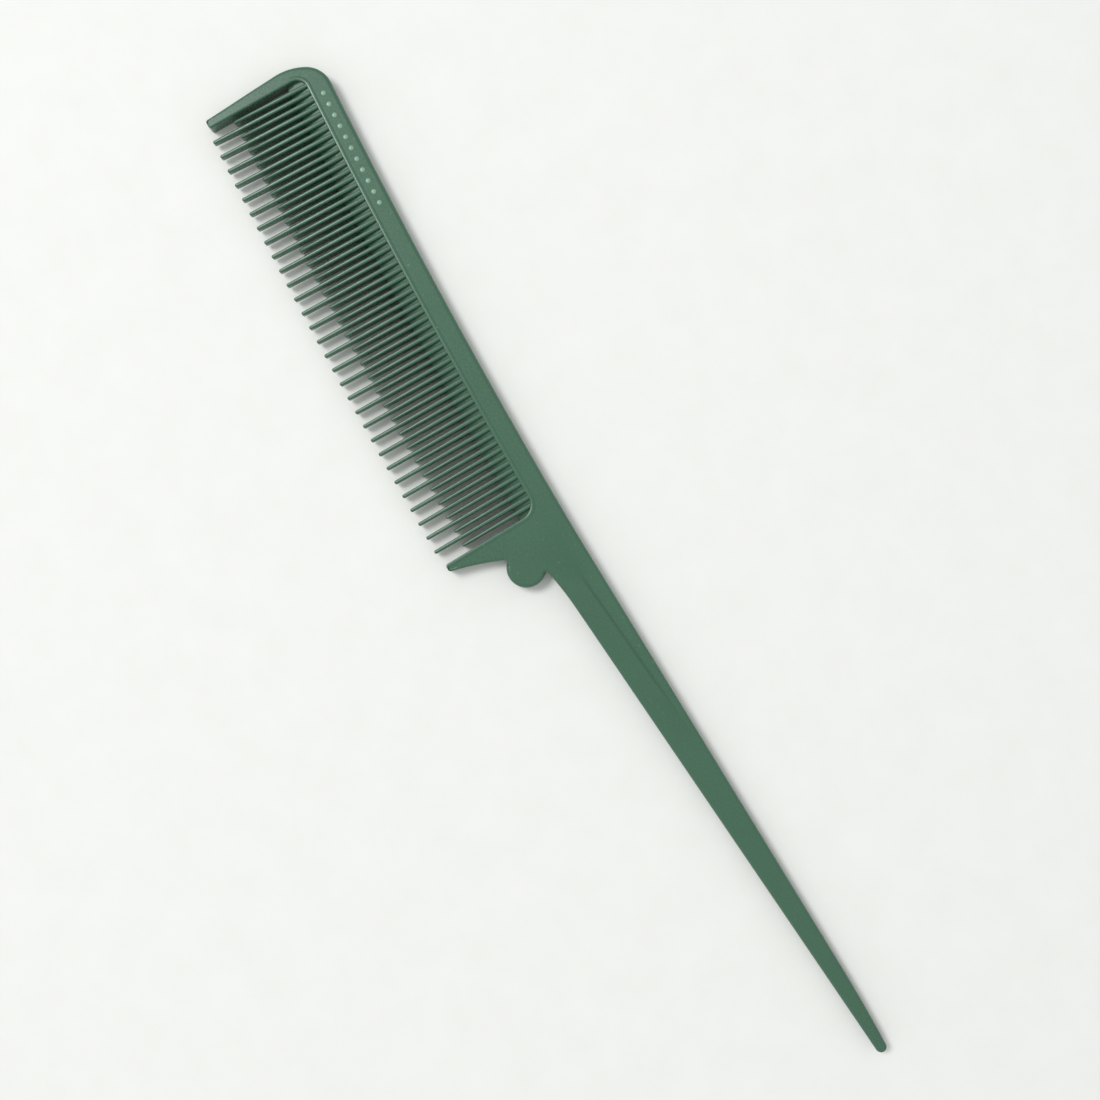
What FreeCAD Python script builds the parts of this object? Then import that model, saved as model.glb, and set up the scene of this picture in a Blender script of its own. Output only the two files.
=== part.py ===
import FreeCAD, Part
import os
from math import atan2, cos, degrees, hypot, radians, sin, sqrt, tan

import Sketcher
from FreeCAD import Placement, Rotation, Vector

# A rat-tail teasing comb, moulded in one piece, lying flat. Built about the middle of its tooth row:
# X runs from the head end to the tail tip, the teeth point to -Y, and the thickness is centred on Z = 0.
# The whole comb is then moved so that the origin is under the middle of its box, on the surface.
# Every region of the moulding is a solid of its own, and neighbours meet face to face.

SIZES = {
    # whole comb
    "overall_length": 225.5,        # head end to tail tip
    "body_thickness": 4.0,          # spine, guards, neck and finger stop
    "edge_round": 0.25,             # rounding of the outline's edges, above and below
    "back_radius": 1437.0,          # hollow bow of the back edge along the tooth row
    # tooth row
    "long_tooth_count": 30,         # one short tooth more than this lies between and outside them
    "tooth_pitch": 1.548,           # along the back edge
    "bow_tilt": 1.25,               # degrees that the bow is turned about the middle of the row
    "tooth_lean": 0.4,              # degrees from square to the bow, tips towards the tail
    "spine_width": 4.55,
    "web_width": 3.65,              # spine to the open part of a slot
    "short_tip_depth": 20.6,
    "long_tip_depth": 26.0,
    "tooth_root_width": 0.88,
    "tooth_root_height": 3.7,
    "long_tip_width": 0.72,
    "long_tip_height": 2.0,
    "short_tip_width": 0.60,
    "short_tip_height": 2.8,
    "tooth_bevel": 0.16,
    "tip_bevel": 0.35,              # length of the tapered end of a tooth
    "web_root_height": 2.9,         # web that fills a slot beside the spine
    "web_edge_height": 0.5,
    "trim_allowance": 0.5,          # teeth and webs start this far inside the spine and are cut back
    # head end and front guard tooth
    "front_gap": 1.28,              # first tooth to the guard, at the open end of the slot
    "front_guard_width": 2.86,      # at the open end of the slot
    "front_guard_length": 23.5,     # tip below the middle of the back edge
    "front_guard_taper": 3.74,      # degrees, outer edge
    "corner_radius": 5.3,
    "shoulder_radius": 11.5,
    "shoulder_turn": 33.0,          # degrees
    "front_inner_radius": 2.2,
    # rear guard tooth and finger stop
    "rear_gap": 1.05,
    "rear_guard_length": 25.6,
    "rear_guard_lean": 1.48,        # degrees, inner edge
    "rear_guard_tip_width": 1.5,
    "rear_inner_radius": 3.1,
    "rear_outer_radius": 62.0,
    "guard_tip_radius": 0.55,
    "lobe_radius": 3.91,
    "lobe_reach": 10.28,            # end of the tooth row to the lobe's centre
    "lobe_depth": 12.05,
    "lobe_guard_angle": 217.6,      # degrees round the lobe where the guard meets it
    "lobe_notch_angle": 52.6,       # degrees round the lobe where the tail meets it
    "lobe_root_round": 0.5,         # hollow rounding between guard and lobe
    "notch_round": 0.3,             # hollow rounding at the bottom of the notch
    # neck and tail
    "neck_reach": 5.16,             # end of the row to the neck arc, along the back edge
    "neck_radius": 409.0,
    "tail_back_angle": 1.825,       # degrees
    "tail_root_reach": 22.84,       # end of the row to where the tail's root width is measured
    "tail_root_width": 7.75,
    "tail_flank_radius": 68.0,
    "tail_tip_radius": 1.12,
    "tail_tip_thickness": 2.2,
    "tip_bow_radius": 322.0,
    "tip_bow_length": 18.9,
    "tail_tip_length": 12.0,        # length of the region named tail_tip
    # row of plain raised dots on the spine
    "dot_count": 11,
    "dot_pitch": 2.4,
    "dot_radius": 0.5,
    "dot_rise": 0.15,
    "dot_reach": 2.94,              # start of the row to the first dot, along the back edge
}

TOLERANCE = 1e-4

doc = FreeCAD.newDocument("teasing_comb")
sheet = doc.addObject("Spreadsheet::Sheet", "Sizes")
for row, (alias, value) in enumerate(SIZES.items(), start=1):
    sheet.set("A%d" % row, alias)
    sheet.set("B%d" % row, str(value))
    sheet.setAlias("B%d" % row, alias)
doc.recompute()


def size(alias):
    return float(sheet.get(alias))


def unit(angle):
    """Unit vector at an angle in degrees from +X."""
    return Vector(cos(radians(angle)), sin(radians(angle)), 0)


# ---------------------------------------------------------------- the bow that the tooth row follows

BOW_CENTRE = unit(90 - size("bow_tilt")) * size("back_radius")


def bow_angle(along):
    """Degrees from straight down to the point that lies along the back edge from the row's middle."""
    return degrees(along / size("back_radius")) - size("bow_tilt")


def bow_point(along, depth):
    return BOW_CENTRE + unit(bow_angle(along) - 90) * (size("back_radius") + depth)


def slide_to_circle(start, direction, centre, radius, nearest):
    """How far a point slides along a direction to lie on a circle: the near or the far crossing."""
    offset = start - centre
    half = offset.dot(direction)
    reach = sqrt(half * half - offset.dot(offset) + radius * radius)
    return -half - reach if nearest else -half + reach


def circles_meet(centre_a, radius_a, centre_b, radius_b, side):
    """Crossing of two circles, to the left (1) or right (-1) of the line from the first to the second."""
    line = centre_b - centre_a
    gap = line.Length
    along = (gap * gap + radius_a ** 2 - radius_b ** 2) / (2 * gap)
    across = sqrt(radius_a ** 2 - along ** 2)
    return centre_a + line * (along / gap) + Vector(-line.y, line.x, 0) * (side * across / gap)


def project(point, foot, direction):
    return foot + direction * (point - foot).dot(direction)


# ---------------------------------------------------------------- outline of the moulding, without teeth

LAST_TOOTH = 2 * int(size("long_tooth_count"))
ROW_HALF = size("tooth_pitch") * LAST_TOOTH / 2
TOOTH_HALF = size("tooth_root_width") / 2
BEAD_RADIUS = size("back_radius") + size("spine_width")
SLOT_DEPTH = size("spine_width") + size("web_width")

# front guard tooth: straight inner edge, square to X, and an outer edge that tapers
front_foot = bow_point(-ROW_HALF, SLOT_DEPTH) - Vector(TOOTH_HALF + size("front_gap"), 0, 0)
front_outer_foot = front_foot - Vector(size("front_guard_width"), 0, 0)
front_outer_up = unit(90 + size("front_guard_taper"))
front_tip_y = -size("front_guard_length")

# inner corner of the front guard, tangent to its inner edge and to the spine
radius = size("front_inner_radius")
centre = front_foot + Vector(radius, 0, 0)
centre = centre + unit(90) * slide_to_circle(centre, unit(90), BOW_CENTRE, BEAD_RADIUS + radius, True)
front_inner_centre = centre
front_inner_on_guard = centre - Vector(radius, 0, 0)
front_inner_on_spine = centre + (BOW_CENTRE - centre).normalize() * radius

# head corner: a shoulder arc that leaves the guard, then a tighter corner arc that meets the back edge
shoulder = size("shoulder_radius")
corner = size("corner_radius")
inward = unit(size("front_guard_taper"))
turned = unit(size("front_guard_taper") - size("shoulder_turn"))
shoulder_centre = front_outer_foot + inward * shoulder
corner_centre = shoulder_centre - turned * (shoulder - corner)
lift = slide_to_circle(corner_centre, front_outer_up, BOW_CENTRE, size("back_radius") + corner, True)
shoulder_centre = shoulder_centre + front_outer_up * lift
corner_centre = corner_centre + front_outer_up * lift
shoulder_start = shoulder_centre - inward * shoulder
shoulder_end = shoulder_centre - turned * shoulder
corner_end = corner_centre + (BOW_CENTRE - corner_centre).normalize() * corner
head_end_x = shoulder_centre.x - shoulder

# rear guard tooth: leaning inner edge, hollow outer edge that ends on the finger stop
rear_foot = bow_point(ROW_HALF, SLOT_DEPTH) + Vector(TOOTH_HALF + size("rear_gap"), 0, 0)
rear_down = unit(size("rear_guard_lean") - 90)
rear_inward = unit(180 + size("rear_guard_lean"))
radius = size("rear_inner_radius")
centre = rear_foot + rear_inward * radius
centre = centre - rear_down * slide_to_circle(centre, rear_down * -1, BOW_CENTRE, BEAD_RADIUS + radius, True)
rear_inner_centre = centre
rear_inner_on_guard = centre - rear_inward * radius
rear_inner_on_spine = centre + (BOW_CENTRE - centre).normalize() * radius

lobe_centre = Vector(ROW_HALF + size("lobe_reach"), -size("lobe_depth"), 0)
lobe_on_guard = lobe_centre + unit(size("lobe_guard_angle")) * size("lobe_radius")
notch = lobe_centre + unit(size("lobe_notch_angle")) * size("lobe_radius")

# back edge beyond the head: neck arc, straight tail, and an arc that bows down to the tip
neck_along = ROW_HALF + size("neck_reach")
neck_start = bow_point(neck_along, 0)
neck_centre = neck_start + unit(bow_angle(neck_along) + 90) * size("neck_radius")
neck_end = neck_centre - unit(size("tail_back_angle") + 90) * size("neck_radius")
tail_along = unit(size("tail_back_angle"))
tail_end_x = head_end_x + size("overall_length")
bow_start = neck_end + tail_along * ((tail_end_x - size("tip_bow_length") - neck_end.x) / tail_along.x)
tip_bow_centre = bow_start - unit(size("tail_back_angle") + 90) * size("tip_bow_radius")

# rounded tip, tangent inside the bowed back edge, with its end at the overall length
tip = size("tail_tip_radius")
tip_centre = Vector(tail_end_x - tip, tip_bow_centre.y, 0)
rise = slide_to_circle(tip_centre, unit(90), tip_bow_centre, size("tip_bow_radius") - tip, False)
tip_centre = tip_centre + unit(90) * rise
tip_on_back = tip_centre + (tip_centre - tip_bow_centre).normalize() * tip

# front edge of the tail: from the root width to the tip, tangent to the rounded tip
root_x = ROW_HALF + size("tail_root_reach")
root_back = neck_end + tail_along * ((root_x - neck_end.x) / tail_along.x)
root_front = root_back - Vector(0, size("tail_root_width"), 0)
to_tip = tip_centre - root_front
front_angle = degrees(atan2(to_tip.y, to_tip.x)) - degrees(tip / hypot(to_tip.x, to_tip.y))
front_along = unit(front_angle)
tip_on_front = project(tip_centre, root_front, front_along)

# flank: an arc through the notch, tangent to the front edge of the tail
flank = size("tail_flank_radius")
flank_centre = project(notch, root_front, front_along) + unit(front_angle - 90) * flank
slide = slide_to_circle(flank_centre, front_along, notch, flank, False)
flank_centre = flank_centre + front_along * slide
flank_end = project(flank_centre, root_front, front_along)


def through_guard_tip(inner, outer, inner_down, outer_down, tip_y):
    """Corners of a blunt tip between two edges of a guard tooth, at one height."""
    inner_corner = inner + inner_down * ((tip_y - inner.y) / inner_down.y)
    outer_corner = outer + outer_down * ((tip_y - outer.y) / outer_down.y)
    return inner_corner, outer_corner


def corner_arc(point, towards_a, towards_b, radius):
    """Rounded corner: tangent points on two edges that leave a point, and the middle of the arc."""
    a = (towards_a - point).normalize()
    b = (towards_b - point).normalize()
    half = a.getAngle(b) / 2
    centre = point + (a + b).normalize() * (radius / sin(half))
    middle = centre + (point - centre).normalize() * radius
    return point + a * (radius / tan(half)), middle, point + b * (radius / tan(half))


front_inner_tip, front_outer_tip = through_guard_tip(
    front_foot, front_outer_foot, unit(-90), front_outer_up * -1, front_tip_y)
front_tip_outer = corner_arc(front_outer_tip, shoulder_start, front_inner_tip, size("guard_tip_radius"))
front_tip_inner = corner_arc(front_inner_tip, front_outer_tip, front_inner_on_guard, size("guard_tip_radius"))

rear_inner_tip = rear_foot + rear_down * ((-size("rear_guard_length") - rear_foot.y) / rear_down.y)
rear_outer_tip = rear_inner_tip + Vector(size("rear_guard_tip_width"), 0, 0)
chord = lobe_on_guard - rear_outer_tip
square = Vector(-chord.y, chord.x, 0).normalize()
rise = sqrt(size("rear_outer_radius") ** 2 - chord.Length ** 2 / 4)
rear_outer_centre = rear_outer_tip + chord * 0.5 - square * rise
outward = (rear_outer_tip - rear_outer_centre).normalize()
rear_outer_up = Vector(outward.y, -outward.x, 0) if outward.x < 0 else Vector(-outward.y, outward.x, 0)
rear_tip_inner = corner_arc(rear_inner_tip, rear_inner_on_guard, rear_outer_tip, size("guard_tip_radius"))
rear_tip_outer = corner_arc(rear_outer_tip, rear_inner_tip, rear_outer_tip + rear_outer_up,
                            size("guard_tip_radius"))


def on_arc(centre, radius, first, last):
    """Middle of the shorter arc between two points of a circle."""
    chord_middle = (first + last) * 0.5
    return centre + (chord_middle - centre).normalize() * radius


# hollow roundings on both sides of the finger stop
lobe = size("lobe_radius")
radius = size("lobe_root_round")
root_round_centre = circles_meet(rear_outer_centre, size("rear_outer_radius") - radius,
                                 lobe_centre, lobe + radius, 1)
root_round_on_guard = rear_outer_centre + (root_round_centre - rear_outer_centre).normalize() \
    * size("rear_outer_radius")
root_round_on_lobe = lobe_centre + (root_round_centre - lobe_centre).normalize() * lobe
radius = size("notch_round")
notch_round_centre = circles_meet(flank_centre, flank - radius, lobe_centre, lobe + radius, -1)
notch_round_on_flank = flank_centre + (notch_round_centre - flank_centre).normalize() * flank
notch_round_on_lobe = lobe_centre + (notch_round_centre - lobe_centre).normalize() * lobe

# (end point, middle point of an arc or None for a line, sheet name of the arc's radius or None)
OUTLINE = [
    (shoulder_start, None, None),
    (front_tip_outer[0], None, None),
    (front_tip_outer[2], front_tip_outer[1], "guard_tip_radius"),
    (front_tip_inner[0], None, None),
    (front_tip_inner[2], front_tip_inner[1], "guard_tip_radius"),
    (front_inner_on_guard, None, None),
    (front_inner_on_spine, on_arc(front_inner_centre, size("front_inner_radius"),
                                  front_inner_on_guard, front_inner_on_spine), "front_inner_radius"),
    (rear_inner_on_spine, on_arc(BOW_CENTRE, BEAD_RADIUS, front_inner_on_spine, rear_inner_on_spine), None),
    (rear_inner_on_guard, on_arc(rear_inner_centre, size("rear_inner_radius"),
                                 rear_inner_on_spine, rear_inner_on_guard), "rear_inner_radius"),
    (rear_tip_inner[0], None, None),
    (rear_tip_inner[2], rear_tip_inner[1], "guard_tip_radius"),
    (rear_tip_outer[0], None, None),
    (rear_tip_outer[2], rear_tip_outer[1], "guard_tip_radius"),
    (root_round_on_guard, on_arc(rear_outer_centre, size("rear_outer_radius"),
                                 rear_tip_outer[2], root_round_on_guard), None),
    (root_round_on_lobe, on_arc(root_round_centre, size("lobe_root_round"),
                                root_round_on_guard, root_round_on_lobe), "lobe_root_round"),
    (notch_round_on_lobe, lobe_centre + unit(size("lobe_notch_angle") - 90) * lobe, "lobe_radius"),
    (notch_round_on_flank, on_arc(notch_round_centre, size("notch_round"),
                                  notch_round_on_lobe, notch_round_on_flank), "notch_round"),
    (flank_end, on_arc(flank_centre, flank, notch_round_on_flank, flank_end), "tail_flank_radius"),
    (tip_on_front, None, None),
    (tip_on_back, on_arc(tip_centre, tip, tip_on_front, tip_on_back), "tail_tip_radius"),
    (bow_start, on_arc(tip_bow_centre, size("tip_bow_radius"), tip_on_back, bow_start), "tip_bow_radius"),
    (neck_end, None, None),
    (neck_start, on_arc(neck_centre, size("neck_radius"), neck_end, neck_start), "neck_radius"),
    (corner_end, on_arc(BOW_CENTRE, size("back_radius"), neck_start, corner_end), "back_radius"),
    (shoulder_end, on_arc(corner_centre, corner, corner_end, shoulder_end), "corner_radius"),
    (shoulder_start, on_arc(shoulder_centre, shoulder, shoulder_end, shoulder_start), "shoulder_radius"),
]


# ---------------------------------------------------------------- sketches and bodies

def origin_plane(body, role):
    return next(feature for feature in body.Origin.OriginFeatures if feature.Role == role)


def new_sketch(body, name, role):
    sketch = body.newObject("Sketcher::SketchObject", name)
    sketch.AttachmentSupport = (origin_plane(body, role), [""])
    sketch.MapMode = "FlatFace"
    return sketch


def bind(sketch, constraint, name, expression):
    """Add a named constraint whose value follows the sheet."""
    index = sketch.addConstraint(constraint)
    sketch.renameConstraint(index, name)
    sketch.setExpression("Constraints." + name, expression)


def add_outline(sketch):
    """Closed run of lines and arcs, end to end, with the arcs' radii following the sheet."""
    start = OUTLINE[-1][0]
    vertices = []
    for number, (end, middle, alias) in enumerate(OUTLINE[1:]):
        if middle is None:
            sketch.addGeometry(Part.LineSegment(start, end), False)
            vertices.append((1, 2))
        else:
            # a sketch holds its arcs counter-clockwise, so one that runs clockwise starts at its end
            circle = Part.Arc(start, middle, end).toShape().Curve
            clockwise = (middle - start).cross(end - start).z < 0
            first, last = (end, start) if clockwise else (start, end)
            angles = [atan2(point.y - circle.Center.y, point.x - circle.Center.x) for point in (first, last)]
            plain = Part.Circle(circle.Center, Vector(0, 0, 1), circle.Radius)
            sketch.addGeometry(Part.ArcOfCircle(plain, *angles), False)
            vertices.append((2, 1) if clockwise else (1, 2))
            if alias:
                bind(sketch, Sketcher.Constraint("Radius", number, size(alias)),
                     "%s_%d" % (alias, number), "Sizes." + alias)
        start = end
    for number, (_, end_vertex) in enumerate(vertices):
        following = (number + 1) % len(vertices)
        sketch.addConstraint(Sketcher.Constraint("Coincident", number, end_vertex,
                                                 following, vertices[following][0]))


def outline_edges(feature, fold_x):
    """Names of the edges round the upper and lower faces, without upright edges and the tail's fold."""
    names = []
    for number, edge in enumerate(feature.Shape.Edges, start=1):
        points = [vertex.Point for vertex in edge.Vertexes]
        upright = min(point.z for point in points) < 0 < max(point.z for point in points)
        fold = all(abs(point.x - fold_x) < TOLERANCE for point in points)
        if not upright and not fold:
            names.append("Edge%d" % number)
    return names


def add_polygon(sketch, corners):
    first = sketch.GeometryCount
    count = len(corners)
    for index, corner_point in enumerate(corners):
        sketch.addGeometry(Part.LineSegment(corner_point, corners[(index + 1) % count]), False)
    for index in range(count):
        sketch.addConstraint(Sketcher.Constraint("Coincident", first + index, 2,
                                                 first + (index + 1) % count, 1))


# ---------------------------------------------------------------- the moulding without its teeth

moulding = doc.addObject("PartDesign::Body", "Moulding")
plan = new_sketch(moulding, "Plan", "XY_Plane")
add_outline(plan)
pad = moulding.newObject("PartDesign::Pad", "PlanPad")
pad.Profile = plan
pad.SideType = "Symmetric"
pad.setExpression("Length", "Sizes.body_thickness")
doc.recompute()
full_volume = pad.Shape.Volume

# The tail is thinned above and below by two wedges, cut right across it from the flank to the tip.
HALF_THICKNESS = size("body_thickness") / 2
TIP_HALF_THICKNESS = size("tail_tip_thickness") / 2
MARGIN = 1.0
fold_x = flank_end.x
thinning = new_sketch(moulding, "TailThinning", "XZ_Plane")
for side in (1, -1):
    add_polygon(thinning, [
        Vector(fold_x, side * HALF_THICKNESS, 0),
        Vector(tail_end_x + MARGIN, side * TIP_HALF_THICKNESS, 0),
        Vector(tail_end_x + MARGIN, side * (HALF_THICKNESS + MARGIN), 0),
        Vector(fold_x, side * (HALF_THICKNESS + MARGIN), 0)])
taper = moulding.newObject("PartDesign::Pocket", "TailTaper")
taper.Profile = thinning
taper.Type = "ThroughAll"
taper.SideType = "Symmetric"
doc.recompute()
if taper.Shape.Volume > full_volume - 1:
    raise RuntimeError("the tail was not thinned")

rounding = moulding.newObject("PartDesign::Fillet", "EdgeRounding")
rounding.Base = (taper, outline_edges(taper, fold_x))
rounding.setExpression("Radius", "Sizes.edge_round")
doc.recompute()


# ---------------------------------------------------------------- teeth

def add_tooth_section(body, name, below_root, width, height):
    """Bevelled section of a tooth: eight corners, each placed from the leaning centre line."""
    sketch = new_sketch(body, name, "XZ_Plane")
    sketch.setExpression(".AttachmentOffset.Base.z", below_root)
    sketch.setExpression(".AttachmentOffset.Base.x", "(%s) * tan(Sizes.tooth_lean * 1deg)" % below_root)
    outer_x = "(%s) / 2" % width
    outer_z = "(%s) / 2" % height
    inner_x = outer_x + " - Sizes.tooth_bevel"
    inner_z = outer_z + " - Sizes.tooth_bevel"
    places = [(1, 1, outer_x, inner_z), (1, 1, inner_x, outer_z), (-1, 1, inner_x, outer_z),
              (-1, 1, outer_x, inner_z), (-1, -1, outer_x, inner_z), (-1, -1, inner_x, outer_z),
              (1, -1, inner_x, outer_z), (1, -1, outer_x, inner_z)]
    guess = [Vector(sx * (2 if fx == outer_x else 1), sz * (2 if fz == outer_z else 1), 0)
             for sx, sz, fx, fz in places]
    add_polygon(sketch, guess)
    for index, (side_x, side_z, across, up) in enumerate(places):
        for kind, side, expression in (("DistanceX", side_x, across), ("DistanceY", side_z, up)):
            ends = (-1, 1, index, 1) if side > 0 else (index, 1, -1, 1)
            bind(sketch, Sketcher.Constraint(kind, *ends, 1.0), "%s_%d" % (kind, index), expression)
    return sketch


def new_tooth(name, kind):
    """A tooth whose root is square to the bow at its own origin, and whose tip leans along X."""
    body = doc.addObject("PartDesign::Body", name)
    length = "(Sizes.%s_tip_depth - Sizes.spine_width)" % kind
    tip_width = "Sizes.%s_tip_width" % kind
    tip_height = "Sizes.%s_tip_height" % kind
    root = add_tooth_section(body, name + "Root", "-Sizes.trim_allowance",
                             "Sizes.tooth_root_width", "Sizes.tooth_root_height")
    near = add_tooth_section(body, name + "Near", length + " - Sizes.tip_bevel", tip_width, tip_height)
    end = add_tooth_section(body, name + "End", length, tip_width + " - Sizes.tooth_bevel",
                            tip_height + " - 2 * Sizes.tooth_bevel")
    loft = body.newObject("PartDesign::AdditiveLoft", name + "Loft")
    loft.Profile = root
    loft.Sections = [near, end]
    loft.Ruled = True
    return body


def tooth_placement(number):
    """Root of a tooth on the spine's inner edge; its centre line crosses the slots' end on pitch."""
    lean_back = size("web_width") * tan(radians(size("tooth_lean")))
    along = (number - LAST_TOOTH / 2) * size("tooth_pitch") - lean_back
    return Placement(bow_point(along, size("spine_width")), Rotation(Vector(0, 0, 1), bow_angle(along)))


long_tooth = new_tooth("LongTooth", "long")
short_tooth = new_tooth("ShortTooth", "short")
doc.recompute()


def linked_tooth(number):
    """Tooth number 0 is at the head end; even ones are short and odd ones long."""
    link = doc.addObject("App::Link", "Tooth%02d" % number)
    link.LinkedObject = long_tooth if number % 2 else short_tooth
    link.Placement = tooth_placement(number)
    return link


# ---------------------------------------------------------------- regions of the moulding

FAR_LEFT = head_end_x - MARGIN
FAR_RIGHT = tail_end_x + MARGIN
FAR_UP = max(corner_centre.y + corner, tip_centre.y + tip, bow_start.y) + MARGIN
FAR_DOWN = -size("long_tip_depth") - MARGIN
INTO_CORNER = 0.6               # share of an inner corner's radius where the spine ends
HEAD_X = front_inner_centre.x - INTO_CORNER * size("front_inner_radius")
HEAD_Y = front_inner_on_guard.y - MARGIN
NECK_X = rear_inner_centre.x + INTO_CORNER * size("rear_inner_radius")
tail_tip_x = tail_end_x - size("tail_tip_length")

REGIONS = {
    "front_guard_tooth": [(FAR_LEFT, HEAD_Y), (FAR_LEFT, FAR_DOWN), (0, FAR_DOWN), (0, HEAD_Y)],
    "head_corner": [(FAR_LEFT, HEAD_Y), (HEAD_X, HEAD_Y), (HEAD_X, FAR_UP), (FAR_LEFT, FAR_UP)],
    "spine": [(HEAD_X, HEAD_Y), (NECK_X, rear_inner_on_guard.y), (NECK_X, FAR_UP), (HEAD_X, FAR_UP)],
    "neck": [(NECK_X, lobe_on_guard.y), (lobe_on_guard.x, lobe_on_guard.y), (notch.x, notch.y),
             (notch.x, FAR_UP), (NECK_X, FAR_UP)],
    "rear_guard_tooth": [(0, FAR_DOWN), (lobe_on_guard.x, FAR_DOWN),
                         (lobe_on_guard.x, lobe_on_guard.y), (0, lobe_on_guard.y)],
    "finger_stop": [(lobe_on_guard.x, FAR_DOWN), (FAR_RIGHT, FAR_DOWN), (FAR_RIGHT, notch.y),
                    (notch.x, notch.y), (lobe_on_guard.x, lobe_on_guard.y)],
    "tail_shank": [(notch.x, notch.y), (tail_tip_x, notch.y), (tail_tip_x, FAR_UP), (notch.x, FAR_UP)],
    "tail_tip": [(tail_tip_x, notch.y), (FAR_RIGHT, notch.y), (FAR_RIGHT, FAR_UP), (tail_tip_x, FAR_UP)],
}

nodes = []


def region(label, corners):
    """The part of the moulding that lies over a polygon."""
    cutter = doc.addObject("PartDesign::Body", "Over_" + label)
    sketch = new_sketch(cutter, "Over_" + label + "_plan", "XY_Plane")
    add_polygon(sketch, [Vector(x, y, 0) for x, y in corners])
    block = cutter.newObject("PartDesign::Pad", "Over_" + label + "_pad")
    block.Profile = sketch
    block.SideType = "Symmetric"
    block.setExpression("Length", "Sizes.body_thickness + 2")
    common = doc.addObject("Part::Common", "Region_" + label)
    common.Base = moulding
    common.Tool = cutter
    common.Label = label
    nodes.append(common)
    return common


for region_label, region_corners in REGIONS.items():
    region(region_label, region_corners)


def trimmed(label, base, tool):
    """A piece cut back to where it meets another."""
    cut = doc.addObject("Part::Cut", "Trim_" + label)
    cut.Base = base
    cut.Tool = tool
    cut.Label = label
    return cut


teeth = [linked_tooth(number) for number in range(LAST_TOOTH + 1)]
for number in range(1, LAST_TOOTH, 2):
    nodes.append(trimmed("long_tooth_%02d" % ((number + 1) // 2), teeth[number], moulding))

# The short teeth share a node, as a row of separate solids.
short_row = doc.addObject("Part::Compound", "ShortRow")
short_row.Links = [trimmed("short_tooth_%02d" % (number // 2 + 1), teeth[number], moulding)
                   for number in range(0, LAST_TOOTH + 1, 2)]
short_row.Label = "short_teeth"
nodes.append(short_row)

# Webs: a wedge that runs along the bow beside the spine, between the guards, cut away where the teeth are.
half_arc = degrees((rear_inner_on_guard.x - front_inner_on_guard.x) / 2 / BEAD_RADIUS)
band = doc.addObject("PartDesign::Body", "WebBand")
section = new_sketch(band, "WebSection", "YZ_Plane")
bead, edge_radius = size("trim_allowance") - BEAD_RADIUS, -size("back_radius") - SLOT_DEPTH
add_polygon(section, [Vector(bead, size("web_root_height") / 2, 0),
                      Vector(edge_radius, size("web_edge_height") / 2, 0),
                      Vector(edge_radius, -size("web_edge_height") / 2, 0),
                      Vector(bead, -size("web_root_height") / 2, 0)])
turn = band.newObject("PartDesign::Revolution", "WebTurn")
turn.Profile = section
turn.ReferenceAxis = (section, ["V_Axis"])
turn.Midplane = True
turn.Angle = 2 * half_arc + degrees(2 * MARGIN / BEAD_RADIUS)
middle_x = (rear_inner_on_guard.x + front_inner_on_guard.x) / 2
swing = degrees((middle_x - BOW_CENTRE.x) / BEAD_RADIUS)
band.Placement = Placement(BOW_CENTRE, Rotation(Vector(0, 0, 1), swing))
whole_row = doc.addObject("Part::Compound", "WholeRow")
whole_row.Links = teeth
between_guards = trimmed("web_between_guards", band, moulding)
nodes.append(trimmed("slot_webs", between_guards, whole_row))

# ---------------------------------------------------------------- raised dots on the spine

dot = doc.addObject("Part::Cylinder", "Dot")
dot.setExpression("Radius", "Sizes.dot_radius")
dot.setExpression("Height", "Sizes.dot_rise")
dots = []
for number in range(int(size("dot_count"))):
    link = doc.addObject("App::Link", "Dot%02d" % number)
    link.LinkedObject = dot
    along = -ROW_HALF + size("dot_reach") + number * size("dot_pitch")
    place = bow_point(along, size("spine_width") / 2)
    link.Placement = Placement(place + Vector(0, 0, HALF_THICKNESS), Rotation())
    dots.append(link)
dot_row = doc.addObject("Part::Compound", "DotRow")
dot_row.Links = dots
dot_row.Label = "spine_dots"
nodes.append(dot_row)

doc.recompute()

# ---------------------------------------------------------------- origin, checks and files

for item in doc.Objects:
    if "Invalid" in item.State or "Error" in item.State:
        raise RuntimeError("%s failed: %s" % (item.Name, item.State))

box = FreeCAD.BoundBox()
for node in nodes:
    box.add(node.Shape.optimalBoundingBox(False, False))
origin = Placement(Vector(-box.Center.x, -box.Center.y, HALF_THICKNESS), Rotation())
for node in nodes:
    node.Placement = origin * node.Placement

os.makedirs("parts", exist_ok=True)
for node in nodes:
    shape = node.Shape
    if shape.isNull() or not shape.isValid() or not shape.Solids:
        raise RuntimeError(node.Label + " has no valid solid")
    shape.exportStep("parts/" + node.Label + ".step")
print("nodes", len(nodes), "box", box.XLength, box.YLength, box.ZLength)
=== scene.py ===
from math import acos, atan2, ceil, cos, degrees, hypot, radians, sin, sqrt, tan

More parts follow.
